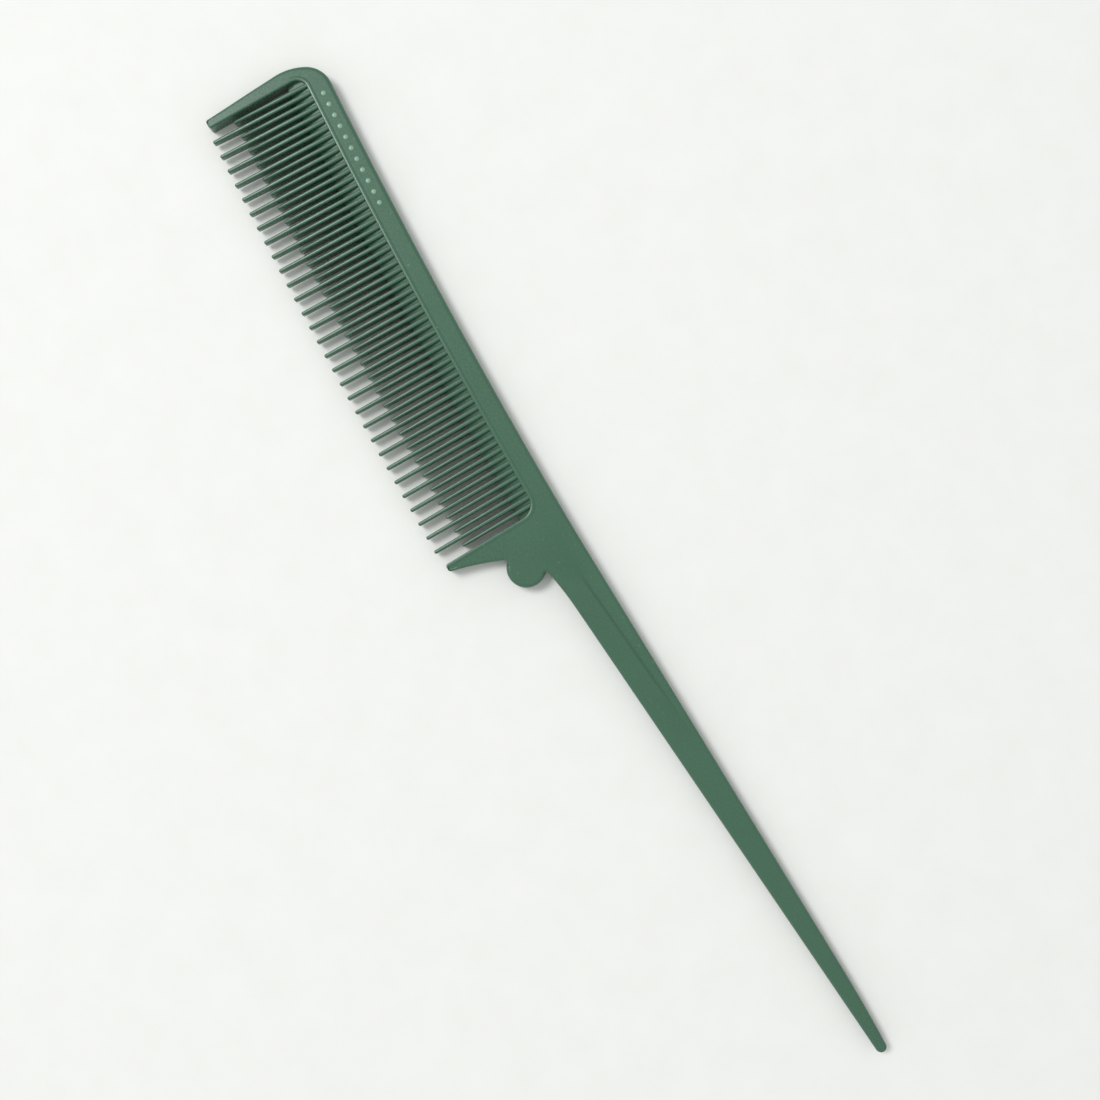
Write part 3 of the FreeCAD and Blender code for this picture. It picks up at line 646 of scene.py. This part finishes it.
def model_tooth(name, length, tip_width, tip_height):
    """A tooth at the frame's origin that points to -Y: a box, its end drawn out and drawn in, all rounded."""
    bpy.ops.object.select_all(action="DESELECT")
    bpy.ops.mesh.primitive_cube_add(size=MM, location=(0, ROOT_SINK * MM / 2, 0))
    tooth = bpy.context.object
    tooth.name = tooth.data.name = name
    tooth.scale = (TOOTH_ROOT_WIDTH, ROOT_SINK, TOOTH_ROOT_HEIGHT)
    settle(tooth)
    bpy.ops.object.mode_set(mode="EDIT")
    pick(tooth, "faces", lambda face: face.normal.y < -FLAT)
    bpy.ops.mesh.extrude_region_move(TRANSFORM_OT_translate={"value": (0, -length * MM, 0)})
    bpy.ops.transform.resize(value=(tip_width / TOOTH_ROOT_WIDTH, 1, tip_height / TOOTH_ROOT_HEIGHT))
    bpy.ops.object.mode_set(mode="OBJECT")
    add_modifier(tooth, "BEVEL", limit_method="ANGLE", angle_limit=radians(SMALL_CORNER),
                 width=TOOTH_ROUNDING * MM, segments=TOOTH_ROUNDING_STEPS)
    smooth(tooth, SMALL_CORNER)
    return tooth


def place_copy(pattern, name, place, turn):
    """A copy of a piece with its own mesh, turned about Z and moved."""
    select_only(pattern)
    bpy.ops.object.duplicate(linked=False)
    copy = bpy.context.object
    copy.name = copy.data.name = name
    copy.location = place
    copy.rotation_euler = (0, 0, radians(turn))
    settle(copy)
    return copy


def join(pieces, name):
    bpy.ops.object.select_all(action="DESELECT")
    for piece in pieces:
        piece.select_set(True)
    bpy.context.view_layer.objects.active = pieces[0]
    bpy.ops.object.join()
    pieces[0].name = pieces[0].data.name = name
    return pieces[0]


def add_teeth(material):
    """Long and short teeth in turn, square to the bow, with a short one at each end of the row."""
    long_tooth = model_tooth("long_tooth_pattern", LONG_TIP_DEPTH - SPINE_WIDTH, LONG_TIP_WIDTH,
                             LONG_TIP_HEIGHT)
    short_tooth = model_tooth("short_tooth_pattern", SHORT_TIP_DEPTH - SPINE_WIDTH, SHORT_TIP_WIDTH,
                              SHORT_TIP_HEIGHT)
    lean_back = WEB_WIDTH * sin(radians(TOOTH_LEAN))
    shorts = []
    for number in range(2 * LONG_TEETH + 1):
        along = (number - LONG_TEETH) * TOOTH_PITCH - lean_back
        place = row(bow_point(along, SPINE_WIDTH), MID_Z)
        turn = bow_angle(along) + TOOTH_LEAN
        if number % 2:
            index = (number + 1) // 2
            tooth = place_copy(long_tooth, "long_tine_%02d" % index, place, turn)
            finish_piece(tooth, material, "long_tooth_%02d" % index)
        else:
            shorts.append(place_copy(short_tooth, "short_tine", place, turn))
    finish_piece(join(shorts, "short_tines"), material, "short_teeth")
    for pattern in (long_tooth, short_tooth):
        bpy.data.objects.remove(pattern)


# ---------------------------------------------------------------- rib, slot floor and raised dots

RIB_INSET = 0.42                # middle of the rib, in from the edge of the spine
RIB_WIDTH = 0.84
RIB_RISE = 0.11
RIB_SIDES = 16
FLOOR_OVERRUN = 0.3             # how far the slot floor runs into each guard
FLOOR_STEPS = 60
DOT_COUNT = 11
DOT_PITCH = 2.4
DOT_RADIUS = 0.5
DOT_RISE = 0.15
DOT_REACH = 2.94                # start of the row to the first dot, along the back edge
DOT_SIDES = 24
DOT_RINGS = 12


def add_bead_rib(material):
    """A low rounded rib inside the edge of the spine, from the head corner round to the rear guard's tip."""
    runs = list(outline_runs("bead", "rear_guard_inner"))
    start, _, centre = runs[0]
    outward = (start - centre).normalized()
    bpy.ops.object.select_all(action="DESELECT")
    bpy.ops.mesh.primitive_circle_add(vertices=RIB_SIDES, radius=MM / 2, fill_type="NGON")
    rib = bpy.context.object
    rib.name = rib.data.name = "bead_rib"
    rib.scale = (RIB_WIDTH, 2 * RIB_RISE, 1)
    settle(rib)
    rib.rotation_euler = (radians(90), 0, atan2(outward.y, outward.x))
    rib.location = row(start + outward * RIB_INSET, THICKNESS)
    settle(rib)
    bpy.ops.object.mode_set(mode="EDIT")
    bpy.ops.mesh.select_all(action="SELECT")
    for start, end, centre in runs:
        if centre is None:
            bpy.ops.mesh.extrude_region_move(TRANSFORM_OT_translate={"value": (end - start) * MM})
        else:
            draw_arc(start, end, centre, 0)
    bpy.ops.object.mode_set(mode="OBJECT")
    clean(rib)
    smooth(rib, SMALL_CORNER)
    finish_piece(rib, material)


def outline_runs(*names):
    """Start, end and arc centre of each run of the outline that has one of these names."""
    start = OUTLINE_START
    for name, end, centre in OUTLINE:
        if name in names:
            yield start, end, centre
        start = end


def add_slot_floor(material):
    """The web that closes the slots beside the spine: a wedge swept along the bow between the guards."""
    left = -ROW_HALF - TOOTH_HALF - FRONT_GAP - FLOOR_OVERRUN
    right = ROW_HALF + TOOTH_HALF + REAR_GAP + FLOOR_OVERRUN
    turn = radians(bow_angle(left) - 90)
    inner = BOW_CENTRE + unit(degrees(turn)) * (BEAD_RADIUS - ROOT_SINK)
    outer = BOW_CENTRE + unit(degrees(turn)) * (BACK_RADIUS + SLOT_DEPTH)
    corners = [row(inner, MID_Z + WEB_ROOT_HEIGHT / 2), row(outer, MID_Z + WEB_EDGE_HEIGHT / 2),
               row(outer, MID_Z - WEB_EDGE_HEIGHT / 2), row(inner, MID_Z - WEB_ROOT_HEIGHT / 2)]
    floor = start_outline("slot_floor", corners[0])
    for corner, following in zip(corners, corners[1:]):
        bpy.ops.mesh.extrude_vertices_move(TRANSFORM_OT_translate={"value": following - corner})
    bpy.ops.mesh.select_all(action="SELECT")
    bpy.ops.mesh.edge_face_add()
    sweep = radians(bow_angle(right) - bow_angle(left))
    bpy.ops.mesh.spin(steps=FLOOR_STEPS, angle=-sweep, center=row(BOW_CENTRE), axis=(0, 0, 1))
    bpy.ops.object.mode_set(mode="OBJECT")
    clean(floor)
    smooth(floor, BODY_CORNER)
    finish_piece(floor, material, "slot_webs")


def add_dots(material):
    """A row of plain raised dots on the spine, each a low dome."""
    bpy.ops.object.select_all(action="DESELECT")
    bpy.ops.mesh.primitive_uv_sphere_add(segments=DOT_SIDES, ring_count=DOT_RINGS, radius=MM)
    dome = bpy.context.object
    dome.scale = (DOT_RADIUS, DOT_RADIUS, DOT_RISE)
    settle(dome)
    bpy.ops.object.mode_set(mode="EDIT")
    bpy.ops.mesh.select_all(action="SELECT")
    bpy.ops.mesh.bisect(plane_co=(0, 0, 0), plane_no=(0, 0, -1), clear_outer=True, use_fill=True,
                        threshold=FINE_CUT_GAP * MM)
    bpy.ops.object.mode_set(mode="OBJECT")
    clean(dome)
    smooth(dome, SMALL_CORNER)
    dots = []
    for number in range(DOT_COUNT):
        along = -ROW_HALF + DOT_REACH + number * DOT_PITCH
        dots.append(place_copy(dome, "dot", row(bow_point(along, SPINE_WIDTH / 2), THICKNESS), 0))
    bpy.data.objects.remove(dome)
    finish_piece(join(dots, "raised_dots"), material, "spine_dots")


# ---------------------------------------------------------------- camera, light and surface

CAMERA_HEIGHT = 300.0
CAMERA_OVER = Vector((55.98, -6.31, 0))     # plan place under the lens
CAMERA_TURN = 60.38                         # degrees
LENS = 49.55
FRAME_WIDTH = 36.0
FLOOR_SIZE = 4000.0
WINDOW_RIGHT = -700.0                       # from the point under the lens, as the camera is turned
WINDOW_UP = 380.0
WINDOW_HEIGHT = 1300.0
WINDOW_SIZE = 500.0
WINDOW_POWER = 12.2                         # watts
ROOM_COLOUR = "#f4f6f5"
ROOM_LIGHT = 0.76


def add_camera():
    """Straight above the neck, looking down."""
    data = bpy.data.cameras.new("camera")
    data.lens = LENS
    data.sensor_width = FRAME_WIDTH
    data.clip_start = 0.01
    camera = bpy.data.objects.new("camera", data)
    bpy.context.scene.collection.objects.link(camera)
    camera.location = row(CAMERA_OVER, CAMERA_HEIGHT)
    camera.rotation_euler = (0, 0, radians(CAMERA_TURN))
    bpy.context.scene.camera = camera


def add_floor():
    """The pale card that the comb lies on."""
    bpy.ops.object.select_all(action="DESELECT")
    bpy.ops.mesh.primitive_plane_add(size=FLOOR_SIZE * MM)
    floor = bpy.context.object
    floor.name = floor.data.name = "floor"
    floor.data.materials.append(matt_white_card())


def add_window():
    """A square soft light above the comb and to its left, aimed at the point under the lens."""
    right = Vector((cos(radians(CAMERA_TURN)), sin(radians(CAMERA_TURN)), 0))
    up = Vector((-right.y, right.x, 0))
    target = row(CAMERA_OVER)
    data = bpy.data.lights.new("window", "AREA")
    data.size = WINDOW_SIZE * MM
    data.energy = WINDOW_POWER
    light = bpy.data.objects.new("window", data)
    bpy.context.scene.collection.objects.link(light)
    light.location = (target + (right * WINDOW_RIGHT + up * WINDOW_UP) * MM
                      + Vector((0, 0, WINDOW_HEIGHT * MM)))
    light.rotation_euler = (target - light.location).to_track_quat("-Z", "Y").to_euler()


def add_room():
    """Even light from a pale room on every side."""
    world = bpy.data.worlds.new("pale_room")
    world.use_nodes = True
    background = world.node_tree.nodes["Background"]
    background.inputs["Color"].default_value = linear(ROOM_COLOUR)
    background.inputs["Strength"].default_value = ROOM_LIGHT
    bpy.context.scene.world = world


bpy.context.scene.view_settings.view_transform = "Standard"
add_camera()
add_floor()
add_window()
add_room()

plastic = satin_moulded_polypropylene("satin_moulded_polypropylene", GREEN_DEEP, GREEN_PALE)
add_body(plastic)
add_teeth(plastic)
add_slot_floor(plastic)
add_bead_rib(plastic)
# the dots' paler finish is a painted highlight, standing in for the light that raised marks catch
add_dots(satin_moulded_polypropylene("highlight_painted_moulded_polypropylene", DOT_PAINTED_HIGHLIGHT_DEEP, DOT_PAINTED_HIGHLIGHT_PALE))
